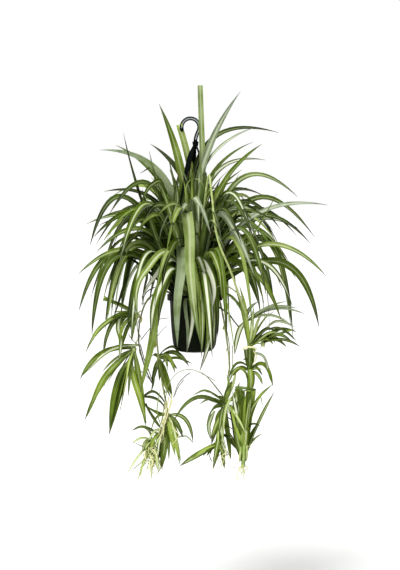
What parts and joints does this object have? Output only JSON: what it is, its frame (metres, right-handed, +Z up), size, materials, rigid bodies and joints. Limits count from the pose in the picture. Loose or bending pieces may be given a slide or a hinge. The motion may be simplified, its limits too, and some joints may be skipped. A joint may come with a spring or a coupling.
{
  "type": "spider plant in a hanging pot",
  "caption": "Hanging tapered plastic pot on a strapped hook, full of arching striped strap leaves, with runners that trail leafy plantlets below.",
  "frame": {"origin": "the saddle of the hook, inside the top of its bend, where the rod that carries it bears", "axes": "+Z up, along the object's hanging line; -Y towards the viewer of the picture; +X to the viewer's right, in the plane of the hook"},
  "size_m": [0.605, 0.518, 0.9772],
  "materials": {
    "pot": "injection-moulded polypropylene, near-black green, softly scuffed",
    "hanger": "moulded dark green plastic with a recessed web",
    "soil": "moist peat and bark potting mix, fully rough",
    "leaf": "satin strap leaves, green with a pale cream-green stripe along the middle",
    "runner": "yellow-green runners and young striped leaves"
  },
  "bodies": {
    "root": {"pot": "pot", "soil": "soil", "hanger": "hanger", "crown_front": "leaf", "crown_right": "leaf", "crown_left": "leaf", "runner_left": "runner", "runner_lower_left": "runner", "runner_right": "runner", "runner_lower_right": "runner"}
  },
  "joints": []
}
